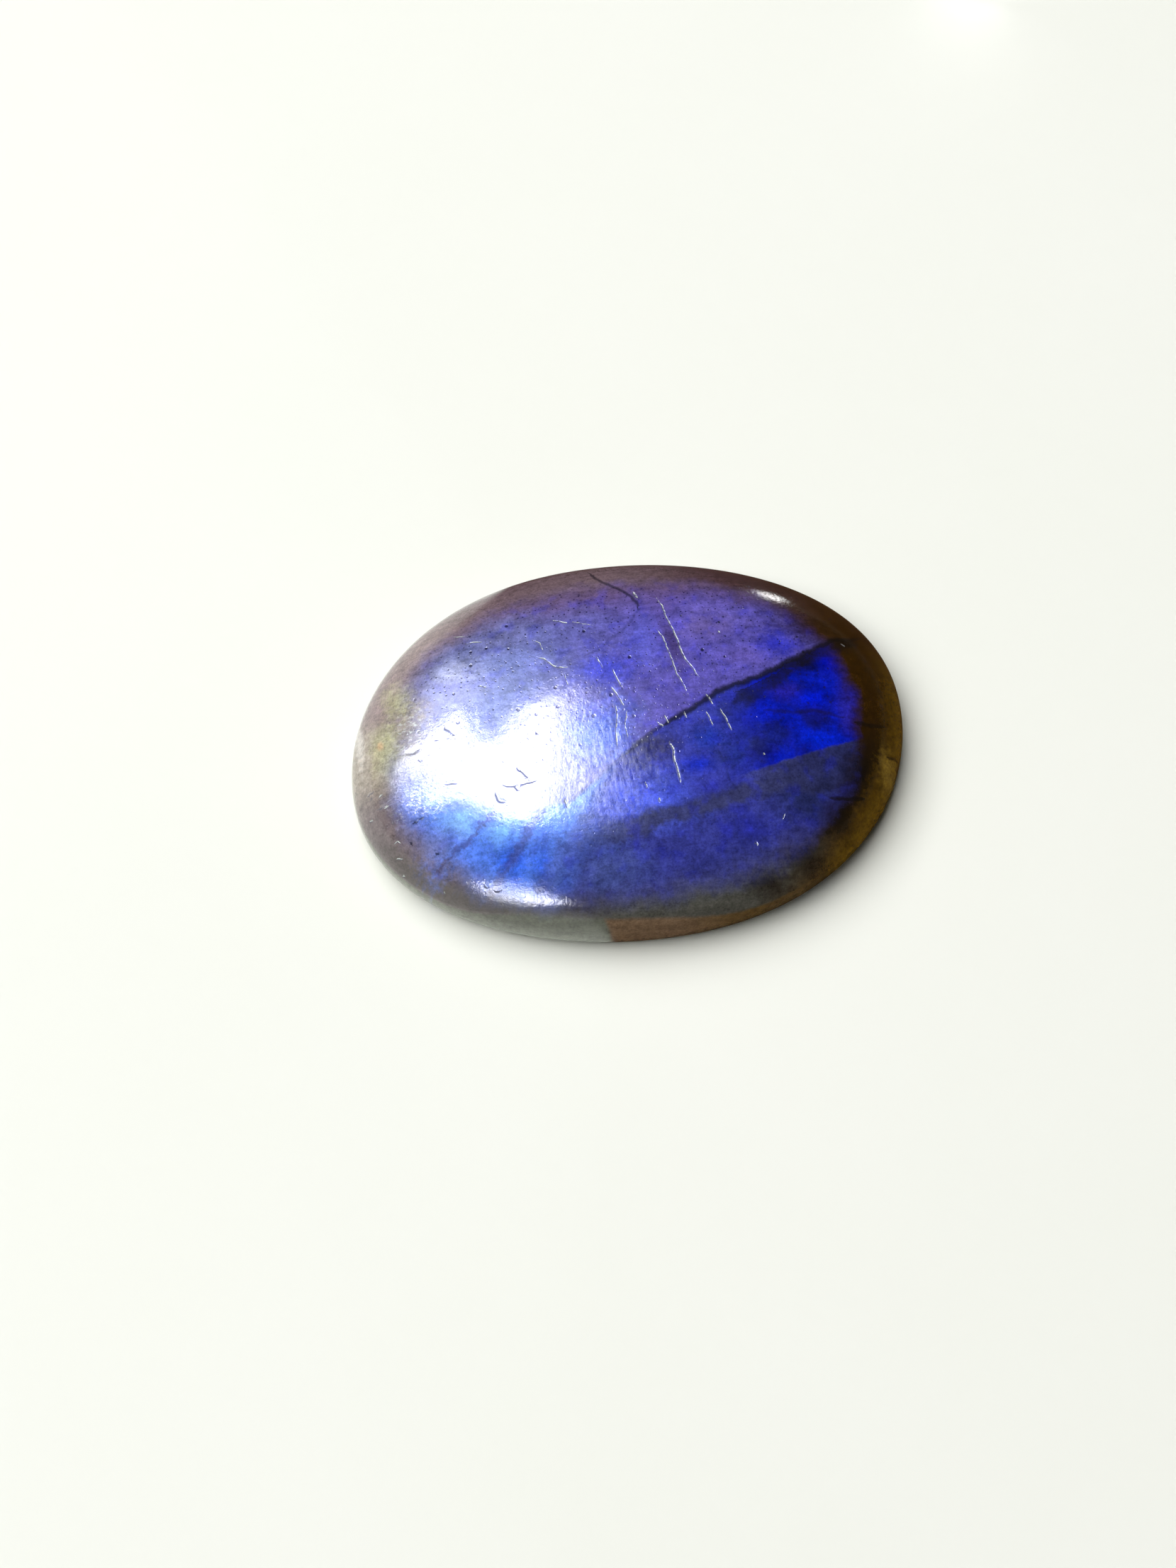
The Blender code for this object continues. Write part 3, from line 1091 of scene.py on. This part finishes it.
# %% Lower field
# Noise read at a shifted place has another pattern.
DEEP_SHIFT = (40, 9, 0)
lower = over(MIDDLE_BLUE, INDIGO, paint.rise(y + bent, -3.5, -6.5))
lower = with_patches(lower, LOWER_PATCHES, patch_bend)
above_edge = paint.rise(beyond(*ROYAL_LOWER_EDGE, small_bend * 0.25), -0.1, 0.1)
in_royal = paint.rise(x + bent * 1.5, 5.0, 8.6) * above_edge
royal_depth = paint.noise(flat_place, 0.42, detail=3.0, roughness=0.6)
royal = over(NAVY, ROYAL, paint.rise(royal_depth, 0.38, 0.58))
royal = with_patches(royal, ROYAL_PATCHES, patch_bend)
lower = over(lower, royal, in_royal)
azure_side = paint.rise(beyond(*AZURE_EDGE, bent), -0.6, 1.4)
azure = with_patches(AZURE, AZURE_PATCHES, patch_bend)
for start_pixel, end_pixel, half_width in STRIPES:
    off_stripe = abs(beyond(start_pixel, end_pixel, small_bend * 1.1 + large_bend * 0.8))
    azure = over(azure, STRIPE_GREY, paint.rise(off_stripe, half_width * 1.7, half_width * 0.2) * 0.75)
lower = over(lower, azure, azure_side)
slate_away = abs(beyond(*SLATE_LINE, small_bend * 0.8 + large_bend * 1.2)) - at_right * 0.6
slate = paint.rise(slate_away, 0.85, 0.25) * paint.rise(x, -5.0, 0.0)
under_royal = paint.rise(beyond(*ROYAL_LOWER_EDGE), -1.9, -0.9) * (1 - in_royal)
under_royal = under_royal * paint.rise(x, 5.5, 8.5)
lower = over(lower, over(SLATE, SLATE_DARK, at_right), paint.most(slate, under_royal) * 0.9)

flash_colour = over(upper, lower, below_main)
clouds = paint.noise(flat_place, 0.8, detail=5.0, roughness=0.62)
deep_place = paint.vector("ADD", flat_place, DEEP_SHIFT)
deep_noise = paint.noise(deep_place, 0.9, detail=4.0)
flash_colour = over(flash_colour, DEEP_BLUE, paint.rise(deep_noise, 0.50, 0.66) * 0.22)
flash_colour = shaded(flash_colour, 0.76 + paint.rise(clouds, 0.30, 0.72) * 0.42)
colour = over(body, flash_colour, flash)
print(f"{len(stone_material.node_tree.nodes)} nodes so far")

# %% [markdown]
# ## Grain and specks
#
# Close up, the flash is mottled, with faint level lines of cleavage and many tiny dark grains, which are
# iron minerals. Voronoi cells scatter them: a cell is a small place of its own with a random colour, and
# its colour says whether it holds a grain and how big that one is.

# %% Grain and specks
SPECK = sRGB(26, 24, 62)
# Size of a cell in mm, share of the cells that hold a grain, largest radius in mm, shift of the cells.
FINE_SPECKS = (0.36, 0.46, 0.070, 3.1)
BIG_SPECKS = (1.2, 0.28, 0.13, 11.7)
MOTTLE_DEPTH = 1.3
LEVEL_DEPTH = 0.8
FINE_DEPTH = 1.3


def specks(size, share, radius, shift):
    """Dark grains: in each cell of this size, a share of the cells holds one of up to this radius in mm."""
    cell_place = paint.vector("ADD", flat_place, (shift, shift * 0.7, 0.0))
    settings = {"voronoi_dimensions": "2D", "feature": "F1"}
    cells = paint.node("ShaderNodeTexVoronoi", settings, {"Vector": cell_place, "Scale": 1 / size})
    chance, girth, _ = paint.parts(Wire(paint, cells.outputs["Color"]))
    distance = Wire(paint, cells.outputs["Distance"]) * size
    reach = radius * (0.4 + 0.6 * girth)
    return paint.rise(distance / reach, 1.15, 0.55) * (chance < share)


on_dome = paint.rise(z, 2.4, 3.8)
dense = (paint.rise(y + large_bend * 4, -6.0, 5.0) * 0.75 + 0.25) * on_dome * (0.25 + flash * 0.75)
fine_specks = specks(*FINE_SPECKS) * dense
big_specks = specks(*BIG_SPECKS) * dense
mottle = paint.noise(place, 2.2, detail=5.0, roughness=0.68) - 0.5
level_place = paint.vector("MULTIPLY", place, (0.35, 3.2, 1.0))
level_lines = paint.noise(level_place, 1.0, detail=4.0, roughness=0.6) - 0.5
fine_grain = paint.noise(place, 7.0, detail=3.0, roughness=0.7) - 0.5
grain = 1 + mottle * MOTTLE_DEPTH + level_lines * LEVEL_DEPTH + fine_grain * FINE_DEPTH
colour = shaded(colour, grain)
colour = over(colour, SPECK, paint.most(fine_specks * 0.8, big_specks * 0.9))
print(f"grains lie in cells of {FINE_SPECKS[0]} and {BIG_SPECKS[0]} mm")

# %% [markdown]
# ## Cracks, scuffs and painted glints
#
# The crack tree stored a side and a nearness in widths of the crack, so a line is a narrow range of the
# side. Closed cracks darken the colour. Open ones show a painted glint, a pale lip broken by noise, beside
# a painted shade, a dark lip, as a rounded groove catches and loses the light. The left end was knocked and
# rubbed, and pale flecks of noise there are painted glints of its many small scuffs.

# %% Cracks
CRACK_DARK = sRGB(22, 24, 40)
PAINTED_GLINT_LIP = sRGB(205, 214, 210)
GLINT = sRGB(226, 234, 236)
PAINTED_SHADE_LIP = sRGB(36, 38, 60)
SCUFF_GLINTS_LOW = ((600, 1130), 3.2, 1.7)
SCUFF_GLINTS_HIGH = ((586, 1040), 1.9, 3.4)

closed_side, closed_near, closed_strength = crack_parts("closed_crack")
open_side, open_near, open_strength = crack_parts("open_crack")
closed_away = abs(closed_side + small_bend * 1.5)
closed_line = paint.rise(closed_away, 1.7, 0.3) * paint.rise(closed_near, 0.45, 0.75) * closed_strength
# Painted light on the open cracks: a pale lip is their glint, a dark lip their shade.
open_glinting_lip = paint.rise(abs(open_side - 0.2), 0.9, 0.3) * paint.rise(open_near, 0.45, 0.75) * open_strength
open_shaded_lip = paint.rise(abs(open_side + 1.0), 1.0, 0.3) * paint.rise(open_near, 0.35, 0.65)
glint_breaks = paint.rise(paint.noise(flat_place, 4.0, detail=3.0), 0.39, 0.54)
closed_colour = over(CRACK_DARK, NEAR_BLACK, to_right_end)
colour = over(colour, closed_colour, closed_line * 0.9)
colour = over(colour, PAINTED_SHADE_LIP, open_shaded_lip * 0.7)
colour = over(colour, PAINTED_GLINT_LIP, open_glinting_lip * glint_breaks)
# Painted glints: pale flecks where the scuffed left end glitters; the same noise also bumps the rubbed part low on
# the dome.
glinting_scuffs = paint.most(spot(*SCUFF_GLINTS_LOW, small_bend), spot(*SCUFF_GLINTS_HIGH, small_bend))
scuff_place = paint.vector("MULTIPLY", place, (1.0, 1.7, 1.0))
scuff_and_glint_marks = paint.noise(scuff_place, 3.4, detail=5.0, roughness=0.75)
colour = over(colour, GLINT, paint.rise(scuff_and_glint_marks, 0.53, 0.62) * glinting_scuffs * 0.85)
print(f"{len(stone_material.node_tree.nodes)} nodes with cracks and scuffs")

# %% [markdown]
# ## Polish
#
# The base layer's gloss is the polished surface, and a Bump node gives it the relief that the mesh is too
# coarse for: pits, hair scratches and the peel of a hand polish. The coat above it is rougher and lies only
# where the stone is rubbed. It makes the milky haze round the window's reflection, in streaks. A share of
# metal in the flash tints its sheen blue, as the layers inside the crystal do.

# %% Polish and the finished shader
STONE_IOR = 1.56
HAZE_ROUGHNESS = 0.42
HAZE_WEIGHT = 0.7
METAL_SHARE = 0.12
RUBBED_RIGHT = ((850, 1075), 5.0, 6.5)
RUBBED_LEFT = ((592, 1108), 3.0, 2.4)
RUBBED_LOW = ((715, 1258), 4.6, 1.6)
# Depths of the relief in millimetres.
PEEL_DEPTH = 0.014
HAIR_DEPTH = 0.004
HAIR_DEPTH_RUBBED = 0.035
SCUFF_DEPTH = 0.018
STREAK_DEPTH = 0.009
PIT_DEPTH = 0.015
OPEN_DEPTH = 0.02

on_back = paint.rise(z, 0.30, 0.05)
rubbed = spot(*RUBBED_RIGHT, patch_bend)
rubbed_left = spot(*RUBBED_LEFT, patch_bend)
rubbed_low = spot(*RUBBED_LOW, small_bend)
streak_place = paint.vector("MULTIPLY", flat_place, (4.2, 1.1, 1.0))
streaks = paint.noise(streak_place, 1.0, detail=5.0, roughness=0.7)
hair = paint.noise(place, 7.0, detail=4.0, roughness=0.7)
peel = paint.noise(place, 1.9, detail=4.0, roughness=0.55)
gloss_roughness = 0.10 + hair * 0.06 + on_back * 0.45 + bevel * 0.25 + open_shaded_lip * 0.5
pits = paint.most(fine_specks * 0.4, big_specks)
relief = peel * PEEL_DEPTH + hair * (HAIR_DEPTH + rubbed_left * HAIR_DEPTH_RUBBED)
relief = relief + scuff_and_glint_marks * rubbed_low * SCUFF_DEPTH + streaks * rubbed * STREAK_DEPTH
relief = relief - pits * PIT_DEPTH - open_glinting_lip * OPEN_DEPTH
bump = paint.wire("ShaderNodeBump", None, {"Strength": 1.0, "Distance": MM, "Height": relief})
shader = paint.node("ShaderNodeBsdfPrincipled", {"subsurface_method": "RANDOM_WALK"}, {
    "Base Color": colour,
    "Metallic": flash * METAL_SHARE * (1 - closed_line),
    "Roughness": gloss_roughness,
    "IOR": STONE_IOR,
    "Normal": bump,
    "Coat Weight": paint.most(rubbed, rubbed_left) * paint.rise(streaks, 0.38, 0.62) * HAZE_WEIGHT,
    "Coat Roughness": HAZE_ROUGHNESS,
    "Coat IOR": STONE_IOR,
})
paint.node("ShaderNodeOutputMaterial", None, {"Surface": shader.outputs["BSDF"]})
print(f"stone material has {len(stone_material.node_tree.nodes)} nodes")

# %% [markdown]
# ## Table
#
# A plain pale table keeps the eye on the stone and throws soft light back at its side. It lies a hair below
# the stone's back, so the two never share a plane, and faint clouds keep it from looking like paper.

# %% Pale table
TABLE_SIZE = 4.0
TABLE_DROP = 0.02 * MM
TABLE_COLOURS = (sRGB(233, 235, 225), sRGB(238, 239, 232))
TABLE_ROUGHNESS = 0.9
CLOUD_SCALE = 25.0


def put_mesh(name, corners, faces, material):
    mesh = bpy.data.meshes.new(name)
    mesh.from_pydata(corners, [], faces)
    mesh.materials.append(material)
    return put(name, mesh)


def table_material():
    material, board = new_material("pale_table")
    table_place = board.node("ShaderNodeTexCoord").outputs["Object"]
    clouds = board.noise(table_place, CLOUD_SCALE, detail=5.0, roughness=0.6)
    tones = {0: clouds, 6: TABLE_COLOURS[0], 7: TABLE_COLOURS[1]}
    shade = board.wire("ShaderNodeMix", {"data_type": "RGBA"}, tones, 2)
    finish = {"Base Color": shade, "Roughness": TABLE_ROUGHNESS}
    surface = board.node("ShaderNodeBsdfPrincipled", None, finish)
    board.node("ShaderNodeOutputMaterial", None, {"Surface": surface.outputs["BSDF"]})
    return material


half = TABLE_SIZE / 2
table_corners = [(-half, -half, 0), (half, -half, 0), (half, half, 0), (-half, half, 0)]
table = put_mesh("table", table_corners, [(0, 1, 2, 3)], table_material())
table.location.z = -TABLE_DROP
print(f"table of {TABLE_SIZE} m")

# %% [markdown]
# ## Light, found from the highlights
#
# The highlights say where the lights stand: the line of sight mirrored in the surface at a highlight points
# at its light. The polish is uneven, so the direction is averaged over a few pixels round the given one.

# %% Where a highlight's light stands
fine_surface = tree_of(stone)
AVERAGE_OVER = 7


def mirrored(pixel):
    """Where a highlight at this pixel lies, and the direction it comes from."""
    total = Vector()
    for step_x in (-1, 0, 1):
        for step_y in (-1, 0, 1):
            near = (pixel[0] + step_x * AVERAGE_OVER, pixel[1] + step_y * AVERAGE_OVER)
            surface_place, normal = hit_under(near, fine_surface)
            if surface_place is not None:
                sight = (EYE - surface_place).normalized()
                total += 2 * sight.dot(normal) * normal - sight
    surface_place, _ = hit_under(pixel, fine_surface)
    return surface_place, total.normalized()


print("light at the crown comes from", [round(value, 2) for value in mirrored(AIM_PIXEL)[1]])

# %% [markdown]
# One big soft window lights the table and the stone's colour. Gloss doesn't see it, because the big
# highlight in the photograph has a shape of its own, which a card makes further on.

# %% The window
LIGHT_DISTANCE = 0.8
WINDOW_PIXEL = (690, 1075)
WINDOW_SIZE = (0.9, 0.7)
WINDOW_RADIANCE = 4.9

window_data = bpy.data.lights.new("window", "AREA")
window_data.shape = "RECTANGLE"
window_data.size, window_data.size_y = WINDOW_SIZE
window_data.energy = WINDOW_RADIANCE * math.prod(WINDOW_SIZE) * math.pi
window = put("window", window_data)
_, window_side = mirrored(WINDOW_PIXEL)
window.location = AIM + window_side * LIGHT_DISTANCE
window.rotation_euler = window_side.to_track_quat("Z", "Y").to_euler()
window.visible_glossy = False
window.visible_camera = False
print("window faces", [round(value, 2) for value in window_side])

# %% [markdown]
# A polished stone shows its lights as they are, so each highlight needs a light of its shape. A glowing
# card is a fan of triangles: its middle and every corner of its outline are pixels of the highlight,
# mirrored in the stone and carried out to the card's plane. It fades towards its edge, and only gloss
# sees it.

# %% Glow cards
def partly(board, mask, surface):
    """Ends a material that shows this surface where the mask is 1 and nothing where it is 0."""
    clear = board.node("ShaderNodeBsdfTransparent").outputs[0]
    mixed = board.node("ShaderNodeMixShader", None, {0: mask, 1: clear, 2: surface}).outputs[0]
    board.node("ShaderNodeOutputMaterial", None, {"Surface": mixed})


def glow_material(name, radiance, softness, tint):
    """Gives off light that fades towards the card's edge over this share of the way in."""
    material, board = new_material(name)
    settings = {"attribute_type": "GEOMETRY", "attribute_name": "inwards"}
    inwards = board.wire("ShaderNodeAttribute", settings, output=2)
    light = board.node("ShaderNodeEmission", None, {"Color": tint, "Strength": radiance}).outputs[0]
    partly(board, board.rise(inwards, 0.0, softness), light)
    return material


def only_for_gloss(obj):
    for way in ("camera", "diffuse", "shadow", "transmission", "volume_scatter"):
        setattr(obj, "visible_" + way, False)


def add_card(name, middle_pixel, radiance, softness, distance, tint, outline):
    """A glowing card whose reflection in the stone has this outline in pixels."""
    surface_place, facing = mirrored(middle_pixel)
    corners = [surface_place + facing * distance]
    for pixel in outline:
        start, heading = mirrored(pixel)
        corners.append(start + heading * (corners[0] - start).dot(facing) / heading.dot(facing))
    count = len(outline)
    faces = [(0, 1 + i, 1 + (i + 1) % count) for i in range(count)]
    made = put_mesh(name, corners, faces, glow_material(name, radiance, softness, tint))
    inwards = made.data.attributes.new("inwards", "FLOAT", "POINT")
    inwards.data[0].value = 1.0
    only_for_gloss(made)
    return made


print("cards can be added")

# %% [markdown]
# The panes are the big highlight itself. Haze and halo are the milky light that the hand polish spreads
# round it, and the shoulder and upper cards are the small gleams near the rim.

# %% Outlines of the highlights
WHITE = (1.0, 1.0, 1.0, 1.0)
SKY = (0.72, 0.90, 1.0, 1.0)
# Each card's name, middle pixel, radiance, softness, distance in metres, tint and outline.
CARDS = (
    ("panes", (700, 1090), 24.0, 0.06, 0.8, WHITE, (
        (568, 1076), (594, 1046), (620, 1020), (643, 998), (654, 1006), (662, 1038), (680, 1052),
        (704, 1050), (728, 1014), (762, 986), (792, 972), (800, 1005), (796, 1080), (786, 1134),
        (766, 1156), (736, 1162), (704, 1150), (668, 1130), (636, 1122), (604, 1128), (566, 1100),
    )),
    ("haze", (812, 1126), 3.0, 0.8, 0.85, SKY, (
        (760, 968), (822, 960), (868, 1000), (900, 1060), (905, 1110), (880, 1160), (835, 1192),
        (770, 1192), (720, 1160), (720, 1020),
    )),
    ("halo", (710, 1070), 4.2, 0.8, 0.95, SKY, (
        (576, 1000), (628, 946), (706, 906), (780, 904), (832, 936), (866, 1020), (884, 1110),
        (860, 1180), (790, 1196), (700, 1196), (620, 1180), (560, 1126),
    )),
    ("shoulder haze", (632, 984), 7.0, 0.8, 0.75, WHITE, (
        (584, 1040), (574, 1000), (598, 956), (632, 938), (690, 942), (734, 958), (700, 990),
        (656, 1000), (636, 1016), (608, 1046),
    )),
    ("shoulder veil", (706, 1250), 4.0, 0.6, 0.8, SKY, (
        (668, 1240), (700, 1236), (736, 1243), (766, 1258), (742, 1264), (700, 1258), (678, 1249),
    )),
    ("shoulder gleam", (736, 1264), 34.0, 0.25, 0.7, WHITE, (
        (670, 1245), (692, 1249), (716, 1252), (742, 1257), (770, 1265), (800, 1273), (768, 1275),
        (728, 1273), (704, 1265), (686, 1257),
    )),
    ("upper gleam", (1085, 836), 24.0, 0.4, 0.05, WHITE, (
        (1058, 824), (1080, 824), (1100, 833), (1112, 848), (1092, 850), (1072, 841),
    )),
)
cards = [add_card(*row) for row in CARDS]
distances = [row[4] for row in CARDS]
print(f"{len(cards)} cards, {min(distances)} to {max(distances)} m from the stone")

# %% [markdown]
# The rest of the room is dim and warm, so that shadows and the mirrored surroundings stay dark but never
# quite black.

# %% Dim room
ROOM_COLOUR = sRGB(120, 118, 112)
ROOM_STRENGTH = 0.1
world = bpy.data.worlds.new("dim_room")
world.use_nodes = True
background = world.node_tree.nodes["Background"]
background.inputs["Color"].default_value = ROOM_COLOUR
background.inputs["Strength"].default_value = ROOM_STRENGTH
bpy.context.scene.world = world
bpy.context.scene.view_settings.view_transform = "Standard"
print(f"room at {ROOM_STRENGTH} of full strength")

# %% [markdown]
# A polished rim mirrors whatever lies beside it, and a white table would wash out the olive right end. In a
# studio a dark card is laid there. This one is a ring round the right half of the stone that only gloss
# rays see, with soft ends.

# %% Dark card on the table
CARD_ENDS = (math.radians(-105), math.radians(118))
CARD_SOFTNESS = math.radians(5)
CARD_INNER = (16.9 * MM, 11.7 * MM)
CARD_OUTER = 0.30
CARD_LIFT = 0.01 * MM
CARD_STEPS = 48
CARD_COLOUR = sRGB(74, 50, 34)


def card_material():
    material, board = new_material("dark_card")
    card_x, card_y, _ = board.parts(board.node("ShaderNodeTexCoord").outputs["Object"])
    angle = board.math("ARCTAN2", card_y, card_x)
    solid = board.rise(angle, CARD_ENDS[0], CARD_ENDS[0] + CARD_SOFTNESS)
    solid = solid * board.rise(angle, CARD_ENDS[1], CARD_ENDS[1] - CARD_SOFTNESS)
    partly(board, solid, board.node("ShaderNodeBsdfDiffuse", None, {"Color": CARD_COLOUR}).outputs[0])
    return material


card_corners = []
for step in range(CARD_STEPS + 1):
    angle = CARD_ENDS[0] + (CARD_ENDS[1] - CARD_ENDS[0]) * step / CARD_STEPS
    for reach_x, reach_y in (CARD_INNER, (CARD_OUTER, CARD_OUTER)):
        card_corners.append((reach_x * math.cos(angle), reach_y * math.sin(angle), CARD_LIFT))
card_faces = [(2 * i, 2 * i + 1, 2 * i + 3, 2 * i + 2) for i in range(CARD_STEPS)]
dark_card = put_mesh("dark_card", card_corners, card_faces, card_material())
only_for_gloss(dark_card)
print(f"dark card over {math.degrees(CARD_ENDS[1] - CARD_ENDS[0]):.0f} degrees")

# %% [markdown]
# ## The stone takes the measured part's place
#
# The fine stone stands for the measured solid, moves with the only body and takes the one material made
# above. The table and the cards are only stage. The two boxes, before and after, are measured and the shown
# size is printed; the crown sank by about two hundredths of a millimetre.

stone.data.materials.clear()
stone.data.materials.append(stone_material)
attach(stone, "root")
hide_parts(STONE_NODE)
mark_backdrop(table, dark_card, *cards)

sizes = {"measured": [list(corner) for corner in MEASURED_BOX], "shown": [list(corner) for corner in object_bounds()]}
print("shown size in mm:", [round((high - low) / MM, 2) for low, high in zip(*sizes["shown"])])
